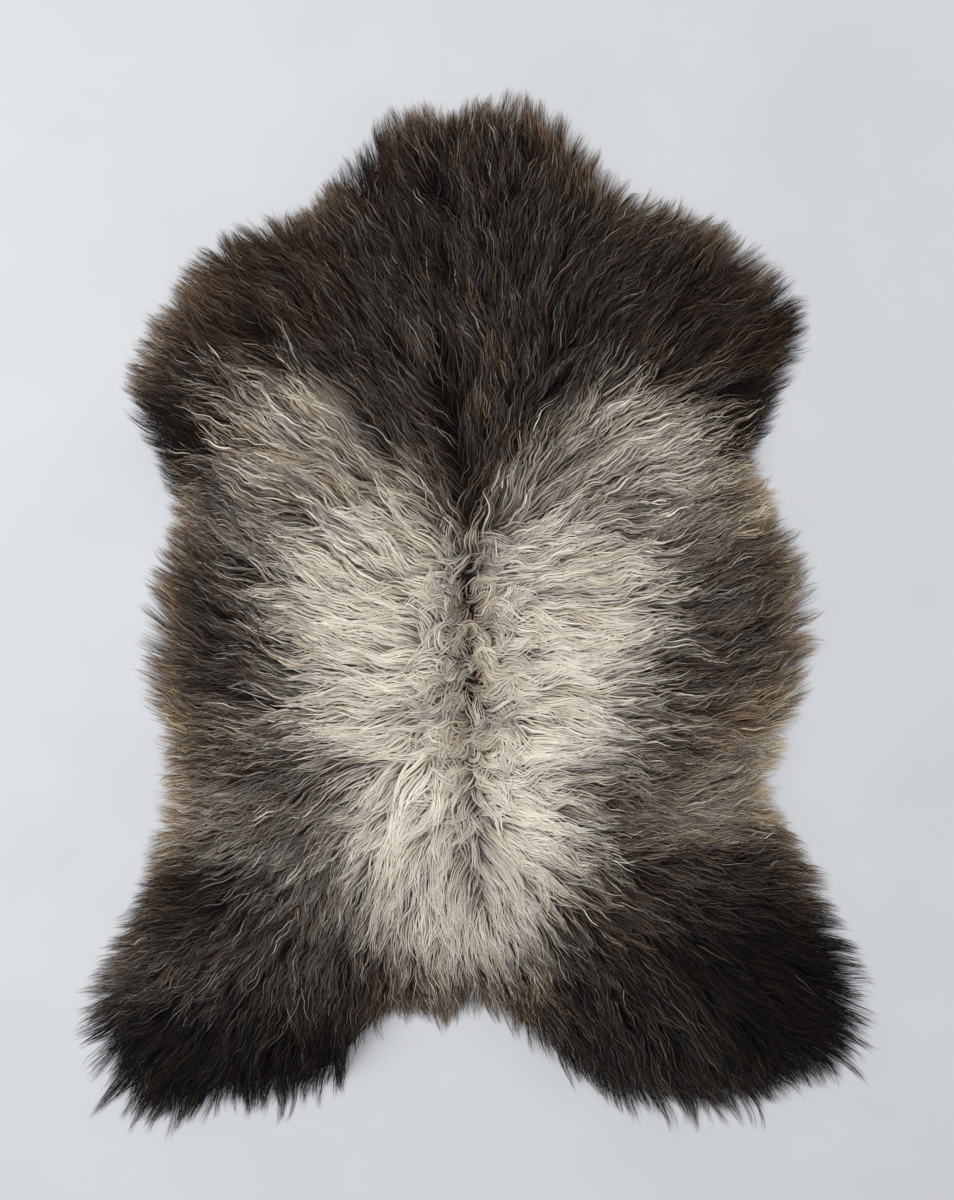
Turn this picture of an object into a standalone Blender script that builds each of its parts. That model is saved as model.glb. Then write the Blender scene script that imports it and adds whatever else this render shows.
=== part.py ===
"""A long-wool sheepskin, lying flat with its wool combed outwards from the spine.

The hide is one piece with the wool that grows on it, so it is one solid: a lumpy slab of wool,
hollowed along the parting, with tapering locks round its rim that rest level on the floor.
Units are metres. +Y is the neck, +X the right-hand side seen from above, and z = 0 the floor.
"""
import bmesh
import bpy
import numpy as np
from mathutils.geometry import delaunay_2d_cdt

MM = 0.001

# Wool
LOFT = 0.046                # height of the lying wool over the middle of the skin
WALL = 0.014                # height of the slab at its edge, where the locks begin
RISE = 0.095                # how far in from the edge the wool reaches its full height
PARTING_DEPTH = 0.016       # how much lower the wool is where it parts along the spine
PARTING_WIDTH = 0.017       # half the width of that furrow
FURROW_SIDE = 0.027         # where the furrow's banks are, either side of the spine
CRIMP_HEIGHT = 0.0050       # rise and fall of the wool along the way it is combed
CRIMP_LENGTH = 0.120        # length of one such rise and fall

# Locks at the rim
LOCKS = 244
LOCK_SECTIONS = (0.36, 0.72)    # where along its length a lock has a section, from root to tip
LOCK_TAPER = 0.60               # power of the taper in width: under 1 keeps a lock full for longer
LOCK_DROOP = 0.62               # power of the taper in height
LOCK_CROWN = 0.55               # width of a lock's top against its foot
LOCK_BEND = 0.0040              # how far a tip curls sideways
SHORTEST_LOCK = 0.76            # the shortest locks, against the longest beside them

# Mesh of the slab
RIM_STEP = 0.0135           # distance between points of the surface near the rim
SPINE_STEP = 0.0200         # and near the spine
RINGS = (0.05, 0.11, 0.18, 0.26, 0.35, 0.45, 0.56, 0.67, 0.78, 0.89)   # shares of the way in
CURVE_STEPS = 24            # samples of the rim curve between two places, to space the locks
SEED = 7

# The line from which the wool is combed, from the neck to the tail
SPINE_COLUMNS = ("place", "y_mm", "x_mm")
SPINE = (
    ("neck", 470, -36),
    ("withers", 230, -21),
    ("back", 95, -6),
    ("loin", -80, -4),
    ("whorl", -210, 2),
    ("tail head", -312, 1),
)

# Where the wool ends all round, clockwise from the neck: the outermost tips, how far they stand
# out past the slab, and the height on the spine from which that wool is combed
RIM_COLUMNS = ("place", "x_mm", "y_mm", "reach_mm", "from_mm")
RIM = (
    ("neck notch", -24, 517, 22, 385),
    ("neck, right", 27, 533, 32, 319),
    ("neck corner, right", 92, 513, 34, 288),
    ("neck side, right", 131, 470, 32, 262),
    ("throat, right", 160, 429, 24, 232),
    ("shoulder top, right", 222, 420, 32, 196),
    ("shoulder, right", 296, 373, 38, 161),
    ("foreleg tip, right", 348, 302, 40, 135),
    ("armpit, right", 320, 222, 34, 110),
    ("waist, right", 293, 152, 24, 74),
    ("upper flank, right", 335, 74, 38, 38),
    ("flank, right", 356, -3, 44, -8),
    ("lower flank, right", 345, -88, 40, -69),
    ("loin, right", 308, -182, 28, -125),
    ("thigh, right", 358, -268, 40, -161),
    ("hind leg side, right", 404, -384, 46, -191),
    ("hind leg corner, right", 401, -466, 48, -214),
    ("hind leg end, right", 346, -500, 48, -230),
    ("hind leg end, middle right", 284, -516, 50, -244),
    ("hind leg end, inner right", 228, -523, 50, -254),
    ("hind leg inside, right", 159, -516, 46, -268),
    ("crotch slope, right", 90, -470, 34, -283),
    ("crotch, right", 15, -402, 18, -298),
    ("tail, right", -26, -425, 26, -309),
    ("tail, left", -96, -420, 28, -293),
    ("hind leg inside, left", -150, -492, 38, -275),
    ("hind leg end, inner left", -208, -515, 48, -262),
    ("hind leg end, left", -298, -522, 50, -242),
    ("hind leg corner, left", -363, -527, 48, -228),
    ("hind leg heel, left", -395, -466, 48, -212),
    ("hind leg side, left", -409, -414, 48, -196),
    ("thigh, left", -367, -322, 42, -166),
    ("rump, left", -333, -227, 38, -130),
    ("loin, left", -321, -163, 32, -105),
    ("lower flank, left", -340, -69, 40, -64),
    ("flank, left", -338, 23, 40, -28),
    ("waist, left", -308, 117, 24, 14),
    ("armpit, left", -347, 189, 34, 50),
    ("foreleg tip, left", -362, 236, 40, 84),
    ("foreleg top, left", -336, 304, 38, 122),
    ("shoulder, left", -277, 381, 36, 168),
    ("shoulder top, left", -221, 406, 32, 206),
    ("throat, left", -179, 416, 24, 237),
    ("neck side, left", -129, 468, 32, 288),
    ("neck, left", -76, 521, 32, 349),
)

# Swells and hollows of the lying wool
LUMP_COLUMNS = ("place", "x_mm", "y_mm", "radius_mm", "height_mm")
LUMPS = (
    ("withers swell, left", -90, 250, 75, 5),
    ("withers swell, right", 70, 240, 70, 5),
    ("saddle swell, left", -150, -110, 85, 6),
    ("saddle swell, right", 140, -160, 80, 7),
    ("flank swell, right", 200, 60, 75, 4),
    ("flank swell, left", -210, 60, 70, 4),
    ("rump swell, left", -95, -245, 60, 6),
    ("rump swell, right", 90, -220, 55, 6),
    ("hind leg swell, left", -250, -330, 80, 4),
    ("hind leg swell, right", 260, -340, 80, 4),
    ("back hollow", 6, 52, 30, -6),
    ("loin hollow", -12, -40, 30, -6),
    ("hollow left of the whorl", -44, -100, 30, -6),
    ("hollow right of the whorl", 28, -112, 30, -6),
    ("whorl hollow", 2, -208, 34, -4),
)


def clear_scene():
    for item in list(bpy.data.objects):
        bpy.data.objects.remove(item, do_unlink=True)


def column(table, columns, name):
    """One named column of a table of sizes in millimetres, in metres."""
    place = columns.index(name)
    return np.array([row[place] for row in table], dtype=float) * MM


def spine_x(y):
    """Where the parting lies at the height y."""
    heights = column(SPINE, SPINE_COLUMNS, "y_mm")[::-1]
    offsets = column(SPINE, SPINE_COLUMNS, "x_mm")[::-1]
    return np.interp(y, heights, offsets)


def closed_curve(points, steps):
    """A smooth closed curve through the points at the given steps: 2.5 is midway from 2 to 3."""
    count = len(points)
    start = np.floor(steps).astype(int)
    part = (steps - start)[:, None]
    before, here, after, later = (points[(start + shift) % count] for shift in (-1, 0, 1, 2))
    return 0.5 * (
        2 * here
        + (after - before) * part
        + (2 * before - 5 * here + 4 * after - later) * part ** 2
        + (3 * here - before - 3 * after + later) * part ** 3
    )


def rim_lines():
    """For each lock's left side: its root on the slab's edge, its tip's line and its start on the spine."""
    tips = np.column_stack([column(RIM, RIM_COLUMNS, name) for name in ("x_mm", "y_mm")])
    start_y = column(RIM, RIM_COLUMNS, "from_mm")
    starts = np.column_stack([spine_x(start_y), start_y])
    combed = tips - starts
    combed /= np.linalg.norm(combed, axis=1)[:, None]
    roots = tips - combed * column(RIM, RIM_COLUMNS, "reach_mm")[:, None]
    table = np.hstack([roots, tips, starts])
    fine = closed_curve(table, np.arange(len(RIM) * CURVE_STEPS + 1) / CURVE_STEPS)
    along = np.concatenate([[0], np.cumsum(np.linalg.norm(np.diff(fine[:, :2], axis=0), axis=1))])
    even = np.linspace(0, along[-1], LOCKS, endpoint=False)
    lines = np.column_stack([np.interp(even, along, fine[:, k]) for k in range(fine.shape[1])])
    return lines[:, 0:2], lines[:, 2:4], lines[:, 4:6]


def with_points_apart(rows, wanted, step):
    """The rows, and after them each wanted row that lies at least a step from all before it."""
    for row in wanted:
        if np.min(np.hypot(rows[:, 0] - row[0], rows[:, 1] - row[1])) >= step:
            rows = np.vstack([rows, row])
    return rows


def surface_points(roots, starts, rng):
    """Rows of x, y and the crimp's turn: the rim, then the points inside it, from there inwards."""
    spine_y = np.arange(SPINE[-1][1] * MM, SPINE[0][1] * MM, SPINE_STEP)
    phases = rng.uniform(0, 2 * np.pi, len(roots))
    lengths = np.linalg.norm(starts - roots, axis=1)
    rows = np.column_stack([roots, phases])
    for beside in (0, -FURROW_SIDE, FURROW_SIDE):
        furrow = np.column_stack([spine_x(spine_y) + beside, spine_y, np.full(len(spine_y), np.pi)])
        rows = with_points_apart(rows, furrow, RIM_STEP)
    for share in RINGS:
        ring = roots + (starts - roots) * share
        turn = phases + 2 * np.pi * lengths * share / CRIMP_LENGTH
        step = RIM_STEP + (SPINE_STEP - RIM_STEP) * share
        rows = with_points_apart(rows, np.column_stack([ring, turn]), step)
    return rows


def distance_to_rim(points, roots):
    """Shortest way from each point to the slab's edge."""
    ends = np.roll(roots, -1, axis=0)
    sides = ends - roots
    gap = points[:, None, :] - roots[None, :, :]
    share = np.clip(np.sum(gap * sides, axis=2) / np.sum(sides ** 2, axis=1), 0, 1)
    return np.min(np.linalg.norm(gap - share[:, :, None] * sides, axis=2), axis=1)


def wool_height(points, turn, roots):
    """Height of the wool: a quarter ellipse up from the edge, swells, crimp and the parting."""
    inward = np.clip(distance_to_rim(points, roots) / RISE, 0, 1)
    height = WALL + (LOFT - WALL) * np.sqrt(1 - (1 - inward) ** 2)
    for x, y, radius, rise in zip(*(column(LUMPS, LUMP_COLUMNS, name) for name in LUMP_COLUMNS[1:])):
        away = np.hypot(points[:, 0] - x, points[:, 1] - y)
        height += rise * np.exp(-(away / radius) ** 2) * inward
    height += CRIMP_HEIGHT * np.sin(turn) * inward ** 0.5
    across = points[:, 0] - spine_x(points[:, 1])
    lowest, highest = SPINE[-1][1] * MM, SPINE[0][1] * MM
    past_end = np.maximum(0, np.maximum(lowest - points[:, 1], points[:, 1] - highest))
    furrow = np.exp(-(across / PARTING_WIDTH) ** 2 - (past_end / SPINE_STEP) ** 2)
    return height - PARTING_DEPTH * furrow * inward


def add_slab(mesh, roots, starts, rng):
    """The top and the flat underside of the slab. Gives the rim's lower and upper points."""
    surface = surface_points(roots, starts, rng)
    height = wool_height(surface[:, :2], surface[:, 2], roots)
    height[:len(roots)] = WALL * rng.uniform(0.85, 1.2, len(roots))
    lower = [mesh.verts.new((x, y, 0)) for x, y in roots]
    top = [mesh.verts.new((x, y, z)) for (x, y, _), z in zip(surface, height)]
    flat = [(x, y) for x, y, _ in surface]
    edge = [(k, (k + 1) % len(roots)) for k in range(len(roots))]
    result = delaunay_2d_cdt(flat, edge, [], 1, 1e-7)
    origin = [places[0] for places in result[3]]
    for face in result[2]:
        mesh.faces.new([top[origin[corner]] for corner in face])
    mesh.faces.new(lower)
    return lower, top[:len(roots)]


def add_locks(mesh, lower, upper, roots, tips, rng):
    """A tapering lock on each stretch of the slab's edge, flat underneath and resting on the floor."""
    count = len(roots)
    shorter = rng.uniform(SHORTEST_LOCK, 1, count)
    bends = rng.uniform(-1, 1, count) * LOCK_BEND
    for k in range(count):
        after = (k + 1) % count
        root = (roots[k] + roots[after]) / 2
        way = ((tips[k] + tips[after]) / 2 - root) * shorter[k]
        side = (roots[after] - roots[k]) / 2
        curl = np.array([-way[1], way[0]]) / np.linalg.norm(way) * bends[k]
        tall = (upper[k].co.z + upper[after].co.z) / 2
        section = [lower[k], lower[after], upper[after], upper[k]]
        for share in LOCK_SECTIONS:
            centre = root + way * share + curl * share ** 2
            foot = side * (1 - share) ** LOCK_TAPER
            crown = foot * LOCK_CROWN
            height = tall * (1 - share) ** LOCK_DROOP
            spots = ((centre - foot, 0), (centre + foot, 0), (centre + crown, height), (centre - crown, height))
            outer = [mesh.verts.new((spot[0], spot[1], z)) for spot, z in spots]
            join_sections(mesh, section, outer)
            section = outer
        tip = mesh.verts.new((*(root + way + curl), 0))
        for corner in range(4):
            mesh.faces.new([section[corner], section[(corner + 1) % 4], tip])


def join_sections(mesh, inner, outer):
    for corner in range(4):
        after = (corner + 1) % 4
        mesh.faces.new([inner[corner], inner[after], outer[after], outer[corner]])


def centre_on_floor(mesh):
    """Moves the origin to the middle of the underside's box."""
    places = np.array([vert.co for vert in mesh.verts])
    middle = (places.min(axis=0) + places.max(axis=0)) / 2
    for vert in mesh.verts:
        vert.co.x -= middle[0]
        vert.co.y -= middle[1]


def wool_material():
    material = bpy.data.materials.new("sheep wool")
    material.use_nodes = True
    shader = material.node_tree.nodes["Principled BSDF"]
    shader.inputs["Base Color"].default_value = (0.27, 0.23, 0.18, 1)
    shader.inputs["Roughness"].default_value = 0.85
    shader.inputs["Metallic"].default_value = 0
    return material


def build_sheepskin():
    rng = np.random.default_rng(SEED)
    roots, tips, starts = rim_lines()
    mesh = bmesh.new()
    lower, upper = add_slab(mesh, roots, starts, rng)
    add_locks(mesh, lower, upper, roots, tips, rng)
    centre_on_floor(mesh)
    bmesh.ops.recalc_face_normals(mesh, faces=mesh.faces)
    data = bpy.data.meshes.new("sheepskin")
    mesh.to_mesh(data)
    mesh.free()
    data.shade_smooth()
    data.materials.append(wool_material())
    skin = bpy.data.objects.new("sheepskin", data)
    bpy.context.scene.collection.objects.link(skin)


clear_scene()
build_sheepskin()
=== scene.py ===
# %% [markdown]
# # A long-wool sheepskin
# A sheepskin rug is a tanned hide with the wool still on it. Seen close, it is tens of thousands of
# fine, wavy fibres that lie together in locks, combed outwards from a parting along the spine.
# Fur can be a texture on a mound, a particle system or real strands. Only real strands give the
# rim its points and the coat its dark gaps, also when the piece leaves Blender as a plain mesh, so
# this lesson grows them with numpy: every strand is one narrow, tapering ribbon.

# %% Load the frame
import math

import bpy
import numpy as np
from mathutils.bvhtree import BVHTree
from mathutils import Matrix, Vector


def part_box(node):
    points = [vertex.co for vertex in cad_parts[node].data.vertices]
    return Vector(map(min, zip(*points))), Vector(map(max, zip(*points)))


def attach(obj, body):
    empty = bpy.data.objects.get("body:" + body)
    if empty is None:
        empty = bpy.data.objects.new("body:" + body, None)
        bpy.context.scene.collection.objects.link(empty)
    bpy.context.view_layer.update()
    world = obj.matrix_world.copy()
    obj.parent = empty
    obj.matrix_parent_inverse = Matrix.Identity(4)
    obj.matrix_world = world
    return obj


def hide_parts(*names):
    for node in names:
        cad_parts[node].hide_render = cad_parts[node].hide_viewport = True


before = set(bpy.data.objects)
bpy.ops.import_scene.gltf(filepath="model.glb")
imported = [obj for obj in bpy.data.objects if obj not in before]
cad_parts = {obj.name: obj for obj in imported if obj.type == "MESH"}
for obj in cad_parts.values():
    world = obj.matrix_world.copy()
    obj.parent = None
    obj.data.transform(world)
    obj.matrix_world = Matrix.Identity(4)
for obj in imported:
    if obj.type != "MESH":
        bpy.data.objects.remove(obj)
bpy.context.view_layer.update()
skin_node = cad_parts["sheepskin"]
low, high = (np.array(corner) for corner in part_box("sheepskin"))
MM = 0.001
print("the solid reaches from", low.round(3), "to", high.round(3))

# %% [markdown]
# ## Nodes and colours
# Every material is a small tree of nodes. One function adds a node of any kind and links it, and
# one turns the hex colours of a screen into linear light.

# %% Nodes and colours
def linear(hex_colour):
    """An sRGB hex colour as linear light: the power curve of sRGB, undone for each channel."""
    parts = np.array([int(hex_colour[k:k + 2], 16) / 255 for k in (1, 3, 5)])
    return np.where(parts > 0.04045, ((parts + 0.055) / 1.055) ** 2.4, parts / 12.92)


def rgba(hex_colour):
    """The same colour, opaque."""
    return (*linear(hex_colour), 1.0)


def feed(tree, node, inputs):
    """Gives a node's inputs their values, or links the sockets that lead into them."""
    for name, value in inputs.items():
        if isinstance(value, bpy.types.NodeSocket):
            tree.links.new(value, node.inputs[name])
        else:
            node.inputs[name].default_value = value


def add_node(tree, kind, settings=(), inputs=(), stops=()):
    """Adds one node with its own settings, its inputs (plain values or the sockets that lead into
    it, by name or number) and the stops of its colour ramp (place and colour). Gives its outputs."""
    node = tree.nodes.new(kind)
    for name, value in dict(settings).items():
        setattr(node, name, value)
    feed(tree, node, dict(inputs))
    for _ in stops[2:]:
        node.color_ramp.elements.new(0.5)
    for element, (place, colour) in zip(node.color_ramp.elements if stops else (), stops):
        element.position = place
        element.color = rgba(colour)
    return node.outputs


def new_material(name, settings):
    """A material with the named settings on its Principled shader. Gives it, its tree and shader."""
    material = bpy.data.materials.new(name)
    material.use_nodes = True
    shader = material.node_tree.nodes["Principled BSDF"]
    feed(material.node_tree, shader, settings)
    return material, material.node_tree, shader


def new_object(name, data):
    """A new object in the scene."""
    item = bpy.data.objects.new(name, data)
    bpy.context.scene.collection.objects.link(item)
    return item


print("mid grey #808080 is", linear("#808080")[0].round(3), "as linear light")

# %% [markdown]
# ## Floor, light and camera
# The skin lies on a pale floor and is seen from straight above. A long lens keeps the rim from
# leaning outwards. Wool needs light from one side as well as from all round: the side light draws
# each lock with a bright and a dark flank, and the even light keeps the dark wool from going black.

# %% Floor, light and camera
FLOOR_DROP = 0.4 * MM  # the floor lies this far under the hide, against flicker
FLOOR_HALF = 6.0  # metres, half the side of the floor
FLOOR_CLOUDS = 7.0  # clouds to a metre, 14 cm each
VIEW_TALL = 1.224  # metres of floor from the top of the picture to its bottom
VIEW_MIDDLE = (0.0044, 0.0112)  # the point of the floor in the middle of the picture
LENS, SENSOR = 62.0, 36.0  # millimetres
SKY_STRENGTH = 0.73  # the even light from all round
# Each soft box: name, place and side in metres, power in watts
LIGHTS = (
    ("window side", (-1.6, 0.5, 2.2), 2.0, 56.0),
    ("fill side", (1.9, 0.7, 2.6), 2.4, 18.0),
)


def make_floor():
    """A wide square of pale plaster floor, mottled very faintly."""
    mesh = bpy.data.meshes.new("floor")
    signs = ((-1, -1), (1, -1), (1, 1), (-1, 1))
    corners = [(x * FLOOR_HALF, y * FLOOR_HALF, -FLOOR_DROP) for x, y in signs]
    mesh.from_pydata(corners, [], [(0, 1, 2, 3)])
    material, tree, shader = new_material("pale plaster floor", {"Roughness": 0.75})
    place = add_node(tree, "ShaderNodeTexCoord")["Object"]
    cloud = add_node(tree, "ShaderNodeTexNoise", inputs={
        "Scale": FLOOR_CLOUDS, "Detail": 6.0, "Vector": place,
    })["Fac"]
    shades = add_node(tree, "ShaderNodeValToRGB", inputs={"Fac": cloud},
                      stops=((0.0, "#b9bbbf"), (1.0, "#c6c8cc")))
    feed(tree, shader, {"Base Color": shades["Color"]})
    mesh.materials.append(material)
    floor = new_object("floor", mesh)


def make_light(name, place, size, power):
    """A square soft box that faces the middle of the skin."""
    lamp = bpy.data.lights.new(name, "AREA")
    lamp.size = size
    lamp.energy = power
    item = new_object(name, lamp)
    item.location = place
    tilt = math.acos(place[2] / np.linalg.norm(place))
    item.rotation_euler = (tilt, 0, math.atan2(place[1], place[0]) + math.pi / 2)


def make_camera():
    """Straight above the skin, as far up as the lens needs to see the picture's stretch of floor."""
    lens = bpy.data.cameras.new("camera")
    lens.lens = LENS
    lens.sensor_width = SENSOR
    camera = new_object("camera", lens)
    camera.location = (*VIEW_MIDDLE, VIEW_TALL * LENS / SENSOR)
    bpy.context.scene.camera = camera
    return camera


def make_sky():
    """A studio that is nearly white all round."""
    world = bpy.data.worlds.new("studio")
    world.use_nodes = True
    background = world.node_tree.nodes["Background"]
    background.inputs["Color"].default_value = rgba("#f3f4f6")
    background.inputs["Strength"].default_value = SKY_STRENGTH
    bpy.context.scene.world = world
    bpy.context.scene.view_settings.view_transform = "Standard"


make_floor()
for light in LIGHTS:
    make_light(*light)
camera = make_camera()
make_sky()
print("camera", round(camera.location.z, 3), "m above the floor")

# %% [markdown]
# ## The lie of the wool
# The solid from the frame already has the right outline and height. A grid of heights, read off it
# by rays from above and softened a little, is all that the strands need: a strand can ask at any
# point how high the wool lies there. The edge of the slab is the ring of points on the floor that
# have another point straight above them.

# %% Heights and edge of the solid
CELL = 6 * MM  # spacing of the grid of heights
MARGIN = 60 * MM  # the grid runs this far past the solid
SOFTEN = 1.3  # blur of the heights, in cells


def read_heights(node):
    """Heights of the solid's top on a grid: a ray falls on each grid point, and a miss is 0."""
    points = [vert.co for vert in node.data.vertices]
    tree = BVHTree.FromPolygons(points, [tuple(face.vertices) for face in node.data.polygons])
    columns = np.arange(low[0] - MARGIN, high[0] + MARGIN, CELL)
    rows = np.arange(low[1] - MARGIN, high[1] + MARGIN, CELL)
    top = high[2] + MARGIN
    hits = [tree.ray_cast((x, y, top), (0, 0, -1))[0] for y in rows for x in columns]
    heights = np.array([hit.z if hit else 0.0 for hit in hits])
    return heights.reshape(len(rows), len(columns))


def soften(grid, width):
    """Blurs a grid with a bell curve of the given width, along its rows and then its columns."""
    reach = int(3 * width) + 1
    bell = np.exp(-0.5 * (np.arange(-reach, reach + 1) / width) ** 2)
    bell /= bell.sum()
    for axis in (0, 1):
        grid = np.apply_along_axis(lambda line: np.convolve(line, bell, "same"), axis, grid)
    return grid


def on_grid(grid, points):
    """Reads a grid at any points, each value mixed from the four grid points around it."""
    across = np.clip((points[..., 0] - low[0] + MARGIN) / CELL, 0, grid.shape[1] - 1.001)
    up = np.clip((points[..., 1] - low[1] + MARGIN) / CELL, 0, grid.shape[0] - 1.001)
    col, row = across.astype(int), up.astype(int)
    right, upper = across - col, up - row
    lower_side = grid[row, col] * (1 - right) + grid[row, col + 1] * right
    upper_side = grid[row + 1, col] * (1 - right) + grid[row + 1, col + 1] * right
    return lower_side * (1 - upper) + upper_side * upper


def slab_edge(node):
    """The slab's edge as an ordered ring, and every point that lies on the floor. The edge is the
    floor points with a point straight above them, each one followed by its nearest neighbour."""
    co = np.zeros(len(node.data.vertices) * 3)
    node.data.vertices.foreach_get("co", co)
    co = np.unique((co.reshape(-1, 3) / MM).round(2), axis=0)
    feet, count = np.unique(co[:, :2], axis=0, return_counts=True)
    left = feet[count > 1] * MM
    ring = [left[0]]
    left = left[1:]
    while len(left):
        nearest = np.argmin(np.hypot(*(left - ring[-1]).T))
        ring.append(left[nearest])
        left = np.delete(left, nearest, axis=0)
    return np.array(ring), co[co[:, 2] == 0][:, :2] * MM


heights = soften(read_heights(skin_node), SOFTEN)
ring, floor_points = slab_edge(skin_node)
print(len(ring), "points on the slab's edge, wool up to", round(heights.max() / MM), "mm high")

# %% [markdown]
# ## Which way the wool is combed
# A short table holds the angle of the wool at 15 levels from neck to tail and at five distances
# from the spine on either side, as read off the photograph to about 5 degrees: 0 is straight out
# sideways, 90 towards the neck and -90 towards the tail. Between them the angle is mixed. Waves of
# many sizes, added up, turn it a little this way and that, and a lot in the tousled wool of the back.

# %% The comb table
COMB_OUT = (30, 100, 180, 260, 330)  # millimetres from the spine to each column of the table
# Each row: y in mm, the angles from the left edge in to the spine, then out to the right edge
COMB = np.array((
    (510, 50, 60, 70, 75, 75, 90, 85, 70, 60, 55),
    (440, 45, 50, 60, 70, 65, 95, 80, 65, 55, 50),
    (360, 40, 40, 40, 50, 70, 105, 70, 35, 45, 35),
    (280, 25, 30, 35, 55, 60, 110, 85, 50, 35, 25),
    (195, 25, 25, 35, 45, 50, 90, 55, 30, 20, 25),
    (125, 30, 20, 25, 35, 50, 75, 40, 15, 15, 20),
    (50, 35, 30, 20, 30, 30, 20, 10, 0, 25, 25),
    (-20, 30, 30, 15, 15, 15, 0, -5, 10, 20, 30),
    (-90, 15, 15, 5, -5, -5, -5, -5, 0, 5, 20),
    (-160, 0, -5, -15, -30, -40, 0, -5, -10, 10, 0),
    (-235, 0, -15, -45, -60, -70, -40, -15, -5, 5, -10),
    (-305, -10, -30, -60, -75, -90, -70, -40, -30, -25, -10),
    (-375, -20, -50, -70, -85, -100, -70, -65, -55, -40, -20),
    (-445, -45, -60, -80, -85, -90, -75, -70, -65, -60, -35),
    (-520, -60, -80, -80, -85, -90, -85, -75, -70, -60, -70),
), dtype=float)
# Points of the parting from the rump to the neck: y and x in mm
SPINE = np.array((
    (-313, 2), (-211, 3), (-81, -3), (94, -5), (215, -21), (368, -31), (469, -29),
), dtype=float)
TOUSLED = (0.0, -0.062, 0.034, 0.138)  # middle x, y and the radii of the tousled wool on the back
SWAY = (7, 110 * MM, 3)  # turns of the wool everywhere: degrees, longest wave, seed
WHORLS = (48, 46 * MM, 4)  # and those of the tousled wool


def spine_x(y):
    """Where the parting lies at the height y: straight lines from point to point."""
    return np.interp(y, SPINE[:, 0] * MM, SPINE[:, 1] * MM)


def ripple(points, longest, seed):
    """Smooth noise about -1 to 1: sine waves of many directions, from the longest to a third of it."""
    rng = np.random.default_rng(seed)
    waves = 16
    angle = rng.uniform(0, 2 * np.pi, waves)
    number = 2 * np.pi / (longest * rng.uniform(0.33, 1, waves))
    phase = rng.uniform(0, 2 * np.pi, waves)
    along = points[..., 0, None] * np.cos(angle) + points[..., 1, None] * np.sin(angle)
    return np.sin(along * number + phase).sum(axis=-1) / math.sqrt(waves / 2)


def tousle(points):
    """1 in the middle of the tousled wool, falling off as a bell curve."""
    x, y, wide, tall = TOUSLED
    across = (points[..., 0] - spine_x(points[..., 1]) - x) / wide
    return np.exp(-across ** 2 - np.abs((points[..., 1] - y) / tall) ** 4)


def combed(points, side):
    """Direction of the wool at each point, for wool rooted on the given side (-1 left, 1 right)."""
    out = np.abs(points[..., 0] - spine_x(points[..., 1]))
    level = np.interp(-points[..., 1], -COMB[:, 0] * MM, np.arange(len(COMB)))
    row = np.minimum(level.astype(int), len(COMB) - 2)
    part = level - row
    columns = len(COMB_OUT)
    place = np.interp(out, np.array(COMB_OUT) * MM, np.arange(columns))
    near = np.minimum(place.astype(int), columns - 2)
    share = place - near
    first = np.where(side < 0, columns - near, columns + 1 + near)
    second = first + np.where(side < 0, -1, 1)
    lower_row = COMB[row, first] * (1 - share) + COMB[row, second] * share
    upper_row = COMB[row + 1, first] * (1 - share) + COMB[row + 1, second] * share
    angle = np.radians(lower_row * (1 - part) + upper_row * part)
    angle = angle + np.radians(SWAY[0]) * ripple(points, *SWAY[1:])
    angle = angle + np.radians(WHORLS[0]) * ripple(points, *WHORLS[1:]) * tousle(points)
    return np.stack([side * np.cos(angle), np.sin(angle)], axis=-1)


print(len(COMB), "levels of combing")

# %% [markdown]
# ## How far the wool may reach
# At the rim the wool ends where the photograph shows it. The solid's locks reach that line, so a
# line drawn from lock tip to lock tip all round the skin says how far a strand may go. A few dips
# draw it in or out where the wool's own edge is sharper than a row of locks can be.

# %% Distances to the edge
# Where the wool stops short of the line, or past it if less than 0: x, y, width, depth in mm
DIPS = (
    ("notch of the neck", -22, 508, 18, 13),
    ("corner of neck and shoulder, left", -172, 412, 42, 7),
    ("crotch, left", -108, -430, 34, 10),
    ("hind leg's corner, left", -392, -440, 40, -8),
    ("hind leg's side, right", 402, -400, 60, -6),
    ("hind leg's end, right", 345, -492, 40, 8),
    ("neck's front", 10, 525, 70, -3),
)
CHUNK = 20000  # points measured at a time


def signed_distance(points, loop):
    """Distance to a closed loop, positive inside and negative outside, and the loop's nearest side.
    A point is inside where a ray from it crosses the loop an odd number of times."""
    ends = np.roll(loop, -1, axis=0)
    sides = ends - loop
    flat = points.reshape(-1, 2)
    result = np.empty(len(flat))
    nearest = np.empty(len(flat), dtype=int)
    for start in range(0, len(flat), CHUNK):
        chunk = flat[start:start + CHUNK]
        gap = chunk[:, None, :] - loop[None, :, :]
        share = np.clip((gap * sides).sum(axis=2) / (sides ** 2).sum(axis=1), 0, 1)
        away = np.hypot(*np.moveaxis(gap - share[:, :, None] * sides, 2, 0))
        spans = (loop[:, 1] > chunk[:, 1, None]) != (ends[:, 1] > chunk[:, 1, None])
        with np.errstate(divide="ignore", invalid="ignore"):
            meets = loop[:, 0] + (chunk[:, 1, None] - loop[:, 1]) / sides[:, 1] * sides[:, 0]
        inside = (spans & (chunk[:, 0, None] < meets)).sum(axis=1) % 2 == 1
        result[start:start + CHUNK] = np.where(inside, 1, -1) * away.min(axis=1)
        nearest[start:start + CHUNK] = away.argmin(axis=1)
    return result.reshape(points.shape[:-1]), nearest.reshape(points.shape[:-1])


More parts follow.
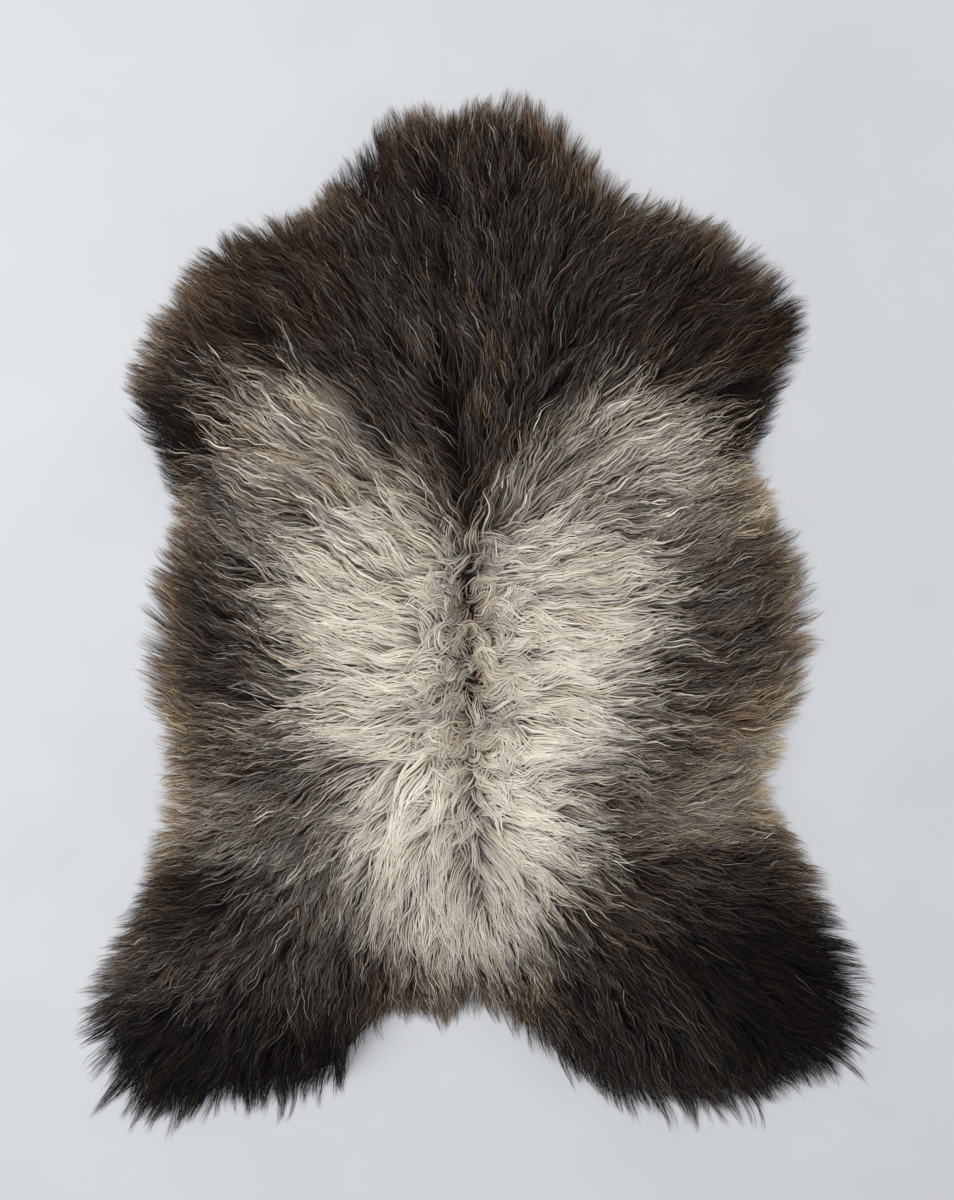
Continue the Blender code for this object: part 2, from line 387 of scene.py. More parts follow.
def join_tips(loop, tips):
    """The line from lock tip to lock tip: the tip furthest out beside each edge point, each once."""
    away, nearest = signed_distance(tips, loop)
    half = len(loop) // 2
    line = []
    for place in range(len(loop)):
        beside = np.abs((nearest - place + half) % len(loop) - half) <= 1
        furthest = np.argmin(np.where(beside, away, 0))
        if beside[furthest] and furthest not in line[-1:]:
            line.append(furthest)
    return tips[line]


def dip_at(points):
    """How much shorter the wool is near each point, as bell curves of the table's widths."""
    places = points[..., None, :] / MM - np.array([row[1:3] for row in DIPS])
    wide, deep = np.array([row[3:] for row in DIPS], dtype=float).T
    return (deep * MM * np.exp(-(places ** 2).sum(axis=-1) / wide ** 2)).sum(axis=-1)


tip_line = join_tips(ring, floor_points)
print(len(tip_line), "lock tips on the line that the wool may reach")

# %% [markdown]
# ## The hide's own surface
# The hide and the short wool under the locks share one map: v runs from the neck to the tail and
# w from the left edge (-1) over the spine (0) to the right edge (1). Every row is a straight line
# from the left edge to a point on the spine and on to the right edge, so the grid follows the
# combing and closes at both ends.

# %% The map of the hide
NOTCH = np.array((-22, 508)) * MM  # the bare notch in the neck's edge
TAIL_END = np.array((-20, -416)) * MM
# Values of v, and the height y in mm at which each one's row crosses the spine
SPINE_STEPS = ((0, 0.16, 0.3, 0.42, 0.55, 0.7, 0.86, 1), (449, 259, 124, 39, -86, -196, -276, -336))


def halves_of(loop):
    """The loop cut at the neck notch and the tail: the left and the right half, from the neck down."""
    start = np.argmin(np.hypot(*(loop - NOTCH).T))
    loop = np.roll(loop, -start, axis=0)
    end = np.argmin(np.hypot(*(loop - TAIL_END).T))
    one, other = loop[:end + 1], np.vstack([loop[end:], loop[:1]])[::-1]
    return (one, other) if one[:, 0].mean() < other[:, 0].mean() else (other, one)


def evenly(line, shares):
    """Points of a line at shares of its length."""
    along = np.concatenate([[0], np.cumsum(np.hypot(*np.diff(line, axis=0).T))])
    along /= along[-1]
    return np.column_stack([np.interp(shares, along, line[:, k]) for k in (0, 1)])


def hide_map(loop, v, w):
    """Points of the hide for each v and w: a straight line from the spine to the edge."""
    left, right = halves_of(loop)
    middle_y = np.interp(v, SPINE_STEPS[0], np.array(SPINE_STEPS[1]) * MM)
    middle = np.column_stack([spine_x(middle_y), middle_y])
    ends = np.where(w[:, None, None] < 0, evenly(left, v)[None], evenly(right, v)[None])
    out = np.abs(w)[:, None, None]
    return (middle[None] * (1 - out) + ends * out).transpose(1, 0, 2)


print("the hide's two edges run", [len(half) for half in halves_of(ring)], "points from neck to tail")

# %% [markdown]
# ## The coat
# Sheep like this one are cream over the back and dark brown to black at the neck, the flanks and
# the legs, and the tips at the rim are bleached brown by the sun. A table of soft ovals paints two
# numbers over the skin, one after the other as with a wide brush: the tone, from 0 for black to 1
# for cream, and the warmth, from 0 for grey to 1 for tan.

# %% The coat table
COAT_GROUND = (0.20, 0.1)  # tone and warmth before the first oval
OVAL_END = 1.3  # an oval's paint ends at this many of its radii
OVAL_FADE = 0.75  # and thins out over this many
# Each oval: place, middle x and y, half width and half height in mm, tone, warmth
COAT = (
    ("flank, left", -265, -10, 80, 120, 0.20, 0.1),
    ("flank, right", 280, -30, 80, 110, 0.30, 0.1),
    ("lower flank, left", -265, -135, 60, 55, 0.35, 0.2),
    ("lower flank, right", 270, -125, 60, 50, 0.45, 0.6),
    ("waist, left", -240, 120, 65, 60, 0.40, 0.0),
    ("waist, right", 245, 115, 70, 65, 0.50, 0.2),
    ("thigh, left", -190, -275, 105, 80, 0.40, 0.0),
    ("thigh, right", 165, -275, 90, 65, 0.25, 0.2),
    ("loin, left", -245, -210, 85, 45, 0.45, 0.0),
    ("loin, right", 235, -195, 80, 50, 0.50, 0.3),
    ("grey round the rump", -10, -380, 100, 90, 0.30, 0.5),
    ("upper saddle, left", -185, 175, 85, 70, 0.60, 0.3),
    ("upper saddle, right", 175, 170, 95, 70, 0.65, 0.1),
    ("fork, left", -85, 115, 80, 50, 0.55, 0.3),
    ("fork, right", 80, 120, 70, 50, 0.55, 0.1),
    ("saddle, left", -95, 20, 125, 95, 0.75, 0.1),
    ("saddle, right", 95, 15, 115, 95, 0.75, 0.0),
    ("saddle, middle", -5, -95, 190, 110, 0.80, 0.0),
    ("saddle, low", -5, -225, 135, 95, 0.85, 0.0),
    ("rump", -10, -300, 105, 75, 0.75, 0.0),
    ("along the spine", -5, -50, 30, 120, 0.70, 0.3),
    ("below the whorl", -5, -245, 30, 90, 0.75, 0.0),
    ("wedge of the neck", -15, 240, 55, 145, 0.25, 0.2),
    ("neck", -20, 415, 115, 105, 0.20, 0.1),
    ("shoulder, left", -215, 315, 105, 65, 0.17, 0.5),
    ("shoulder, right", 225, 290, 95, 80, 0.15, 0.3),
    ("armpit, left", -310, 170, 55, 60, 0.03, 0.2),
    ("armpit, right", 290, 195, 50, 50, 0.03, 0.3),
    ("thigh side, left", -290, -300, 85, 50, 0.12, 0.0),
    ("hind leg, left", -265, -370, 130, 55, 0.25, 0.0),
    ("thigh side, right", 270, -290, 90, 60, 0.20, 0.0),
    ("hind leg end, left", -265, -460, 170, 65, 0.05, 0.1),
    ("hind leg end, right", 320, -395, 155, 110, 0.03, 0.2),
    ("hind leg inside, right", 170, -450, 100, 80, 0.15, 0.0),
    ("shoulder rim, left", -265, 380, 105, 40, 0.10, 1.0),
    ("foreleg rim, right", 335, 300, 45, 65, 0.05, 1.0),
    ("neck rim, right", 100, 490, 45, 50, 0.20, 0.9),
    ("neck rim, left", -115, 455, 45, 45, 0.05, 1.0),
    ("loin rim, left", -315, -165, 45, 60, 0.35, 0.0),
    ("loin rim, right", 300, -160, 45, 60, 0.50, 0.0),
    # the last four ovals are painted shade: the gaps in the parting and the hollows by the whorl are
    # darker because shade falls in them
    ("gap in the parting of the back", 0, 50, 20, 15, 0.50, 0.0),
    ("gap in the parting of the loin", -10, 10, 15, 20, 0.55, 0.3),
    ("hollow left of the whorl", -45, -100, 30, 15, 0.65, 0.0),
    ("hollow right of the whorl", 30, -110, 30, 15, 0.65, 0.0),
)
CREASE_WIDE = 8 * MM  # half the width of the painted shade in the neck's crease
CREASE_SHADE = 0.45  # the share of the tone that the painted shade takes
CREASE_RUN = ((0.10, 0.18, 0.42, 0.5), (0, 1, 1, 0.5))  # its strength at these heights y


def coat(points):
    """Tone and warmth at each point: each soft oval in turn draws both towards its own values. A
    narrow crease runs down the middle of the neck, and painted shade makes the wool in it darker."""
    tone = np.full(points.shape[:-1], COAT_GROUND[0])
    warmth = np.full(points.shape[:-1], COAT_GROUND[1])
    for _, x, y, wide, tall, its_tone, its_warmth in COAT:
        away = np.hypot((points[..., 0] / MM - x) / wide, (points[..., 1] / MM - y) / tall)
        share = np.clip((OVAL_END - away) / OVAL_FADE, 0, 1)
        share = share * share * (3 - 2 * share)
        tone += (its_tone - tone) * share
        warmth += (its_warmth - warmth) * share
    crease = np.exp(-((points[..., 0] - spine_x(points[..., 1])) / CREASE_WIDE) ** 2)
    tone *= 1 - CREASE_SHADE * crease * np.interp(points[..., 1], *CREASE_RUN)
    return tone, warmth


print(len(COAT), "ovals of colour")

# %% [markdown]
# ## The wool's material
# A wool fibre is a scaly, slightly waxy filament, darker where it is rooted and lighter or browner
# at its tip; the darker root is also painted shade, for the roots lie deep in the coat. Every strand
# carries its own place on a chart: across is the tone, up is the way from root to tip, in three bands
# from cool to warm. The material only has to read that chart, so tens of thousands of strands share
# one material and still differ. One ribbon stands for two or three fibres, so fine stripes across the
# chart split its colour, its shine and its surface lengthwise.

# %% Wool material
BANDS = 3
GREY_WOOL = (
    (0.00, "#060505"), (0.14, "#1a1715"), (0.30, "#3b3633"), (0.45, "#605a56"),
    (0.60, "#8d8780"), (0.75, "#c2bbaf"), (0.88, "#e4ded0"), (1.00, "#f9f5e9"),
)
TAN_WOOL = (
    (0.00, "#0c0706"), (0.14, "#291d16"), (0.30, "#4c3a2c"), (0.45, "#735e49"),
    (0.60, "#9f8b73"), (0.75, "#c7b69a"), (0.88, "#e2d4b8"), (1.00, "#f9f1db"),
)
# painted shade: the roots are darker because they lie deep in the coat, on top of the fibre's own darker
# root
ROOT_SHADE = ((0.0, "#c6bfb8"), (0.4, "#f3f1ef"), (1.0, "#ffffff"))     # from root to tip
STRIPES = 330.0  # fibres across the whole chart
STREAKS = 8.0  # changes of a stripe from root to tip
FIBRE_SPREAD = 0.15  # how far two neighbouring fibres may differ in tone
MATH, NOISE, RAMP, MIX = ("ShaderNode" + kind for kind in ("Math", "TexNoise", "ValToRGB", "Mix"))
MIX_COLOUR = {"data_type": "RGBA"}      # its factor is input 0, its colours are inputs 6 and 7
MULTIPLY_COLOUR = {"data_type": "RGBA", "blend_type": "MULTIPLY"}


def make_wool():
    """Dark and faintly waxy at the root, with painted shade there, lighter at the tip. The tone picks a
    colour from the grey and the tan ramp, the warmth mixes the two, and the stripes make single fibres
    show."""
    material, tree, shader = new_material("long wool, washed and combed", {
        "IOR": 1.55, "Specular IOR Level": 0.06,
    })
    chart = add_node(tree, "ShaderNodeUVMap", {"uv_map": "OFBake"})["UV"]
    across, up, _ = add_node(tree, "ShaderNodeSeparateXYZ", inputs={0: chart})
    banded = add_node(tree, MATH, {"operation": "MULTIPLY"}, {0: up, 1: BANDS})[0]
    along = add_node(tree, MATH, {"operation": "FRACT"}, {0: banded})[0]
    band = add_node(tree, MATH, {"operation": "FLOOR"}, {0: banded})[0]
    warmth = add_node(tree, MATH, {"operation": "DIVIDE"}, {0: band, 1: BANDS - 1})[0]
    stripe = add_node(tree, MATH, {"operation": "MULTIPLY"}, {0: across, 1: STRIPES})[0]
    streak = add_node(tree, MATH, {"operation": "MULTIPLY"}, {0: banded, 1: STREAKS})[0]
    place = add_node(tree, "ShaderNodeCombineXYZ", inputs={"X": stripe, "Y": streak})[0]
    fibre = add_node(tree, NOISE, {"noise_dimensions": "2D"}, {
        "Scale": 1.0, "Detail": 1.0, "Vector": place,
    })["Fac"]
    about = add_node(tree, MATH, {"operation": "SUBTRACT"}, {0: fibre, 1: 0.5})[0]
    spread = add_node(tree, MATH, {"operation": "MULTIPLY"}, {0: about, 1: FIBRE_SPREAD})[0]
    tone = add_node(tree, MATH, {"operation": "ADD"}, {0: across, 1: spread})[0]
    grey = add_node(tree, RAMP, inputs={0: tone}, stops=GREY_WOOL)[0]
    tan = add_node(tree, RAMP, inputs={0: tone}, stops=TAN_WOOL)[0]
    root_shade = add_node(tree, RAMP, inputs={0: along}, stops=ROOT_SHADE)[0]
    dyed = add_node(tree, MIX, MIX_COLOUR, {0: warmth, 6: grey, 7: tan})[2]
    colour = add_node(tree, MIX, MULTIPLY_COLOUR, {0: 1.0, 6: dyed, 7: root_shade})[2]
    gloss = add_node(tree, "ShaderNodeMapRange", inputs={
        "Value": fibre, "To Min": 0.5, "To Max": 0.75,
    })["Result"]
    relief = add_node(tree, "ShaderNodeBump", inputs={
        "Strength": 0.3, "Distance": 0.2 * MM, "Height": fibre,
    })["Normal"]
    feed(tree, shader, {"Base Color": colour, "Roughness": gloss, "Normal": relief})
    return material


wool = make_wool()
print("wool chart with", len(GREY_WOOL), "tones in", BANDS, "bands")

# %% [markdown]
# ## From a path to a ribbon
# A strand is a line of points with a width. Its ribbon has a left and a right edge beside that
# line, rolled a little about it so that no two strands catch the light alike, and it tapers to a
# point. All strands of a piece are one mesh, made in a single pass.

# %% Ribbons
CHART_WIDTH = 0.0040  # half a ribbon's width on the chart
FLOOR_GAP = 0.3 * MM  # no edge of a ribbon comes closer to the floor


def quad_mesh(name, points, faces, uv, material):
    """A smooth mesh from points, four corners a face and a chart place for each corner."""
    mesh = bpy.data.meshes.new(name)
    mesh.vertices.add(len(points))
    mesh.vertices.foreach_set("co", points.astype(np.float32).ravel())
    mesh.loops.add(faces.size)
    mesh.loops.foreach_set("vertex_index", faces.astype(np.int32).ravel())
    mesh.polygons.add(len(faces))
    mesh.polygons.foreach_set("loop_start", np.arange(0, faces.size, 4, dtype=np.int32))
    mesh.update(calc_edges=True)
    mesh.uv_layers.new(name="OFBake").data.foreach_set("uv", uv.astype(np.float32).ravel())
    mesh.shade_smooth()
    mesh.materials.append(material)
    return mesh


def ribbons(path, width, roll, tone, tip, band):
    """Points, faces and chart places of one ribbon for each path (strands by points by 3). Its
    edges are the path plus and minus half its width, which tapers to the tip."""
    count, points = path.shape[:2]
    share = np.linspace(0, 1, points)
    along = np.gradient(path, axis=1)
    along /= np.linalg.norm(along, axis=2, keepdims=True) + 1e-12
    flat = np.stack([-along[..., 1], along[..., 0], np.zeros((count, points))], axis=2)
    flat /= np.linalg.norm(flat, axis=2, keepdims=True) + 1e-12
    up = np.cross(along, flat)
    side = np.cos(roll)[..., None] * flat + np.sin(roll)[..., None] * up
    taper = np.minimum(1, 0.5 + 2.5 * share) * (1 - share ** 2.2) ** 0.9 + 0.05
    half = side * (width[:, None] * taper / 2)[..., None]
    edges = np.stack([path + half, path - half], axis=2)
    edges[..., 2] = np.maximum(edges[..., 2], FLOOR_GAP)
    index = np.arange(count * points * 2).reshape(count, points, 2)
    near, far = index[:, :-1], index[:, 1:]
    faces = np.stack([near[..., 0], near[..., 1], far[..., 1], far[..., 0]], axis=-1).reshape(-1, 4)
    across = np.stack([tone - CHART_WIDTH, tone + CHART_WIDTH], axis=1)
    way = (band[:, None] + 0.02 + 0.96 * share) / BANDS
    place = np.empty((count, points, 2, 2))
    place[..., 0] = np.clip(across[:, None, :] + (tip[:, None] * share ** 2)[:, :, None], 0.003, 0.997)
    place[..., 1] = way[:, :, None]
    return edges.reshape(-1, 3), faces, place.reshape(-1, 2)[faces.ravel()]


print(f"each ribbon covers {2 * CHART_WIDTH * STRIPES:.1f} stripes of the chart")

# %% [markdown]
# ## Locks
# Wool doesn't lie hair by hair: a dozen or so neighbours share their grease, their wave and their
# way, and end in one point. So each lock gets a path of its own first, step by step in the combed
# direction, and is cut where it would pass the line of the lock tips.

# %% Roots and paths of the locks
ROOT_INSET = 20 * MM  # the coat's locks are rooted this far inside the slab's edge
HONEYCOMB = 0.866  # height of a row, in spacings
WOBBLE = 0.42  # how far a root may stray, in spacings
SHORTEST = 6 * MM  # no lock is cut shorter
CLUMPS = (42 * MM, 8)  # longest wave and seed by which neighbours agree on their length
CLUMP = 2.5 * MM  # by how much they agree all round the rim
LEG_CLUMP = 11 * MM  # and by how much more at the ends of the hind legs
LEG_SHORT = 8 * MM  # the wool between their points stops this far short
LEG_TIPS = ((-0.47, -0.41), (1, 0))  # where those ends are, by height y
SMOOTH = ((-0.26, -0.08, 0.04, 0.16), (0.6, 0.5, 0.1, -0.2))  # how smooth pale wool is, by height y


def scatter(spacing, rng, least=ROOT_INSET, most=math.inf):
    """Points on a wobbly honeycomb over the hide, so far inside the slab's edge and no further."""
    columns = np.arange(low[0], high[0], spacing)
    rows = np.arange(low[1], high[1], spacing * HONEYCOMB)
    grid = np.stack(np.meshgrid(columns, rows), axis=-1)
    grid[1::2, :, 0] += spacing / 2
    points = grid.reshape(-1, 2)
    points = points + rng.uniform(-WOBBLE, WOBBLE, points.shape) * spacing
    inside, _ = signed_distance(points, ring)
    return points[(inside > least) & (inside < most)]


def comb_paths(start, side, length, turn, bend, steps):
    """Paths in plan: each step goes on in the combed direction of the place reached so far, turned
    by the lock's own angle, which grows by its bend towards the tip."""
    path = [start]
    for step in range(steps):
        way = combed(path[-1], side)
        angle = turn + bend * (step / steps) ** 1.5
        way = np.stack([way[:, 0] * np.cos(angle) - way[:, 1] * np.sin(angle),
                        way[:, 0] * np.sin(angle) + way[:, 1] * np.cos(angle)], axis=1)
        path.append(path[-1] + way * (length / steps)[:, None])
    return np.stack(path, axis=1)


def fit_to_rim(path, length, excess, rng):
    """Shortens each lock to where it would pass the line of the lock tips, more or less. Neighbours
    agree on how much, and most so at the ends of the hind legs, where they stand out as points."""
    steps = path.shape[1] - 1
    inside, _ = signed_distance(path, tip_line)
    clump = ripple(path[:, -1], *CLUMPS)
    ends = np.interp(path[:, -1, 1], *LEG_TIPS)
    limit = rng.uniform(*excess, len(path)) + (CLUMP + LEG_CLUMP * ends) * clump - LEG_SHORT * ends
    past = dip_at(path) + 1 * MM - inside - limit[:, None]
    last = np.where((past > 0).any(axis=1), np.argmax(past > 0, axis=1) - 1, steps - 1)
    row = np.arange(len(path))
    here, then = past[row, last], past[row, last + 1]
    part = np.clip(here / np.minimum(here - then, -1e-9), 0, 1)
    return np.maximum(length * (last + part) / steps, SHORTEST)


def along_paths(path, place):
    """Points of each path at the given steps, on past its ends in a straight line."""
    step = np.clip(place.astype(int), 0, path.shape[1] - 2)
    part = (place - step)[..., None]
    row = np.arange(len(path))[:, None]
    return path[row, step] * (1 - part) + path[row, step + 1] * part


def rough_at(points):
    """How uneven the wool is: smooth where it is pale over the rump, rougher to the shoulders."""
    pale = np.clip((coat(points)[0] - 0.4) / 0.3, 0, 1)
    return 1.05 - pale * np.interp(points[..., 1], *SMOOTH)


print("the coat's locks are rooted", round(ROOT_INSET / MM), "mm or more inside the slab's edge")

# %% [markdown]
# ## The strands of a lock
# The strands of a lock follow its path beside each other, share its wave and draw together to the
# tip. Each one takes its colour from the coat where it lies, a little darker or lighter.

# %% Strands of a lock
ROOT_DEPTH = 12 * MM  # how far under the coat's surface the roots begin
CRIMP = (22 * MM, 38 * MM)  # length of one wave of pale wool
FAN_LIMIT = 2.2  # a lock's outermost strands, in spreads of its fan
LEG_LOCKS = ((-0.45, -0.37), (1, 0))  # locks with thin points, by height y
RIM_ROOM = 3 * MM  # a strand may swing this far past the line of tips
SIDE_WOBBLE = 7 * MM  # about how far locks may cross the parting
SUN_REACH = 18 * MM  # how far in from the edge the sun has bleached the tips
SUN_HEIGHTS = ((-0.42, -0.28), (0.1, 1))  # how much, by height y
SUN_TONES = ((0.05, 0.13), (0.15, 1))  # and by tone
RUMP_FADE = ((-0.32, -0.25), (0.8, 0.3))  # how far a strand takes on the tone at its end
NECK_SHORT = ((0.26, 0.43), (1, 0.78))  # the wool is shorter on the neck, by height y
NOTCH_SHORT = (0.7, 22 * MM)  # and at its notch: by this share, over this width
OUTERMOST = 16 * MM  # locks rooted this near the slab's edge always reach the tips' line
OUTERMOST_REACH = 1.45  # their least length, in distances to that line
DROPPED = 12 * MM  # shorter locks are left out


def strands_of(path, length, style, rng):
    """Strands of each lock in space. Beside the lock's path each one keeps its own distance, which
    shrinks by the pinch towards the tip, and swings in the lock's wave. It rises from its root to
    the coat's surface, and past the slab it comes down to the floor. Gives the strands' points,
    each one's lock and how far it is off the lock's middle, from -1 to 1."""
    locks, steps = len(path), style["steps"]
    lock = np.repeat(np.arange(locks), style["per_lock"])
    count = len(lock)
    share = np.linspace(0, 1, steps + 1)
    keep = rng.uniform(*style["lengths"], count)
    start = rng.uniform(-1, 1, count) * style["slide"] / length[lock]
    place = (start[:, None] + share * keep[:, None]) * steps
    plan = along_paths(path[lock], place)
    way = np.gradient(plan, axis=1)
    way /= np.linalg.norm(way, axis=2, keepdims=True) + 1e-12
    beside = np.stack([-way[..., 1], way[..., 0]], axis=2)
    widest = FAN_LIMIT * style["fan"]
    fan = np.clip(rng.normal(0, style["fan"], count), -widest, widest)
    off = fan / widest
    coarse = 0.35 + 0.65 * coat(path[:, 0])[0]
    wave_length = (rng.uniform(*CRIMP, locks) * (0.55 + 0.45 * coarse))[lock]
    height = (rng.uniform(*style["crimp"], locks) * coarse * rough_at(path[:, 0]))[lock]
    ends = np.interp(path[:, 0, 1], *LEG_LOCKS)
    pinch = (rng.uniform(*style["pinch"], locks) * np.sqrt(coarse) * (1 - ends) + 0.8 * ends)[lock]
    phase = rng.uniform(0, 2 * np.pi, locks)[lock] + rng.normal(0, 0.5, count)
    turn = 2 * np.pi * place / steps * (length[lock] / wave_length)[:, None] + phase[:, None]
    swing = height[:, None] * np.minimum(1, 3 * share)
    sideways = fan[:, None] * (1 - pinch[:, None] * share ** 2.4) + swing * np.sin(turn)
    sideways += rng.normal(0, style["stray"], count)[:, None] * share ** 2
    room = np.maximum(signed_distance(path, tip_line)[0], 0)[..., None]
    room = along_paths(room[lock], place)[..., 0] + RIM_ROOM
    plan = plan + beside * np.clip(sideways, -room, room)[..., None]
    lift = rng.normal(style["lift"], style["lift_spread"], locks)[lock] + rng.normal(0, 0.6 * MM, count)
    lift *= rough_at(path[:, 0])[lock]
    lift += style["dome"] * (1 - off ** 2) * coarse[lock]
    rise = lift[:, None] * np.sin(np.pi * (0.95 * share) ** 0.8)
    z = on_grid(heights, plan) - ROOT_DEPTH * (1 - share) ** 2.2 + rise + 0.6 * swing * np.cos(turn)
    rest = (0.7 + rng.uniform(0, 3.5, count)) * MM
    return np.dstack([plan, np.maximum(z, rest[:, None] * (1 - 0.6 * share))]), lock, off


def tones_of(path, lock, locks, style, rng):
    """Tone, extra tone of the tip and warmth band of each strand, from the coat where the strand
    lies. Near the rim the sun has bleached the tips, but not where the wool is black. Over the rump
    each strand also darkens on its way, so that cream fades into grey there."""
    count = len(path)
    middle = path[:, path.shape[1] // 2, :2]
    way = path[:, -1, :2] - path[:, 0, :2]
    tone, warmth = coat(middle + way * rng.normal(0, 0.36, count)[:, None])
    inside, _ = signed_distance(middle, ring)
    sun = np.exp(-np.maximum(inside, 0) / SUN_REACH) * np.interp(middle[:, 1], *SUN_HEIGHTS)
    sun *= np.interp(tone, *SUN_TONES)
    mixed = 4 * tone * (1 - tone)
    change = coat(path[:, -1, :2])[0] - coat(middle)[0]
    fade = np.interp(middle[:, 1], *RUMP_FADE) * change
    rough = rough_at(middle)
    tone = tone + (0.003 + 0.05 * mixed * np.minimum(1, tone)) * rough * rng.normal(0, 1, locks)[lock]
    # strands differ in tone at random, more in dark wool, where the lighter strands are also painted
    # glints that stand in for the wool's shine
    spread = (style["mottle"] + 0.065 * mixed) * (1.6 - 1.35 * tone) * rough
    tone = tone + spread * rng.normal(0, 1, count) + style["tone"]
    warmth = warmth + 0.05 + 0.7 * sun + 0.15 * rng.normal(0, 1, locks)[lock]
    band = np.clip(np.round(warmth * (BANDS - 1) + rng.normal(0, 0.35, count)), 0, BANDS - 1)
    return np.clip(tone - 0.06 * mixed, 0.01, 0.99), 0.02 + 0.13 * mixed + 0.26 * sun + fade, band


def make_strands(root, style, rng):
    """Paths, widths, rolls and chart places of the strands of the locks with the given roots.
    Ribbons roll away from their lock's middle, so that it catches the light as a round thing."""
    across = root[:, 0] - spine_x(root[:, 1]) + rng.normal(0, SIDE_WOBBLE, len(root))
    side = np.where(across < 0, -1.0, 1.0)
    wild = tousle(root)
    length = style["length"] * rng.uniform(0.85, 1.12, len(root)) * (1 - 0.3 * wild)
    length *= np.interp(root[:, 1], *NECK_SHORT)
    outermost = signed_distance(root, ring)[0] < OUTERMOST
    length = np.maximum(length, OUTERMOST_REACH * outermost * signed_distance(root, tip_line)[0])
    length *= 1 - NOTCH_SHORT[0] * np.exp(-(np.hypot(*(root - NOTCH).T) / NOTCH_SHORT[1]) ** 2)
    coarse = 0.5 + 0.7 * coat(root)[0]
    turn = rng.normal(0, 1, len(root)) * np.radians(style["turn"] * coarse + 22 * wild)
    bend = rng.normal(0, 1, len(root)) * np.radians(style["bend"] * coarse + 45 * wild)
    steps = style["steps"]
    length = fit_to_rim(comb_paths(root, side, length, turn, bend, steps), length, style["excess"], rng)
    whole = length > DROPPED
    root, side, length, turn, bend = (item[whole] for item in (root, side, length, turn, bend))
    paths = comb_paths(root, side, length, turn, bend, steps)
    path, lock, off = strands_of(paths, length, style, rng)
    tone, tip, band = tones_of(path, lock, len(root), style, rng)
    # painted shade: strands at the sides of a lock are darker, for the gaps between locks lie in shade
    tone = np.maximum(tone - 0.06 * off ** 2, 0.01)
    width = rng.uniform(*style["width"], len(path)) * (0.75 + 0.5 * tone)
    tilt = rng.normal(-(14 + 14 * tone) * off, 9)[:, None]
    twist = rng.normal(0, 14, len(path))[:, None] * np.linspace(0, 1, steps + 1)
    roll = np.radians(tilt + twist) * rough_at(root)[lock][:, None]
    return {"root": root[lock], "path": path, "width": width, "roll": roll, "tone": tone, "tip": tip,
            "band": band}


print("a wave of pale wool is", [round(length / MM) for length in CRIMP], "mm long")

# %% [markdown]
# ## Six kinds of wool
# Wool of many lengths lies over each other: short wool that closes the gaps, the locks of the pale
# coat, finer ones where the coat is dark and over the rump, a fringe of short ones at the rim,
# curls along the tousled back and single stray hairs on top. They differ only in their numbers.

# %% Kinds of wool
FINE_TONES = ((-0.23, -0.12), (1.5, 0.4))  # wool darker than this is fine, by height y
# A column for each kind: short wool under the rest, coat locks, fine locks, rim, curls and hairs
IN_MM = {
    "length": (56, 68, 56, 52, 42, 64),
    "slide": (8, 9, 9, 3, 5, 12),  # how far along their lock's path the strands begin
    "fan": (5.0, 5.4, 5.6, 3.0, 4.6, 6.0),  # and how far beside it
    "crimp": ((0.4, 1.2), (0.7, 2.0), (1.4, 3.4), (0.4, 1.0), (0.3, 1.2), (0.8, 2.2)),
    "stray": (3.0, 2.0, 2.0, 2.0, 2.0, 4.0),  # how far their tips wander
    "lift": (-3.0, 0.5, 0.0, -1.0, 2.0, 3.0),  # how high a lock stands
    "lift_spread": (1.5, 1.8, 0.8, 2.0, 2.5, 2.2),
    "dome": (0.0, 3.0, 2.2, 0.0, 3.0, 0.0),  # and how much higher its middle is
    "width": ((1.8, 2.8), (0.8, 1.9), (0.6, 1.4), (0.5, 1.0), (0.7, 1.5), (0.4, 0.8)),
    "excess": ((-10, -3), (-2, 7), (-2, 7), (-1, 8), (-4, 2), (-5, 4)),  # past the line of lock tips
}
NOT_IN_MM = {
    "steps": (5, 10, 8, 5, 11, 8),  # stretches of a ribbon
    "per_lock": (4, 11, 17, 6, 10, 2),  # strands
    "lengths": ((0.7, 1.0), (0.66, 1.0), (0.66, 1.0), (0.84, 1.0), (0.7, 1.0), (0.8, 1.0)),
    "pinch": ((0.0, 0.4), (0.4, 0.95), (0.4, 1.0), (0.0, 0.4), (0.6, 0.95), (0.0, 0.4)),
    # the short wool's -0.09 is painted shade: it lies under the locks, so it is made darker
    "tone": (-0.09, 0.03, 0.01, 0.02, -0.02, 0.03),
    "mottle": (0.03, 0.05, 0.05, 0.05, 0.06, 0.06),  # how far strands differ in tone
    "turn": (6, 8, 8, 9, 35, 8),  # degrees between a lock and the combed direction
    "bend": (8, 16, 16, 14, 50, 14),  # degrees by which it bends towards its tip
}


def kind_of_wool(column):
    """The numbers of one column, with its sizes turned from millimetres to metres."""
    sizes = {name: np.multiply(row[column], MM) for name, row in IN_MM.items()}
    return sizes | {name: row[column] for name, row in NOT_IN_MM.items()}


UNDER, COAT_LOCKS, FINE_LOCKS, RIM, CURLS, HAIRS = (kind_of_wool(column) for column in range(6))

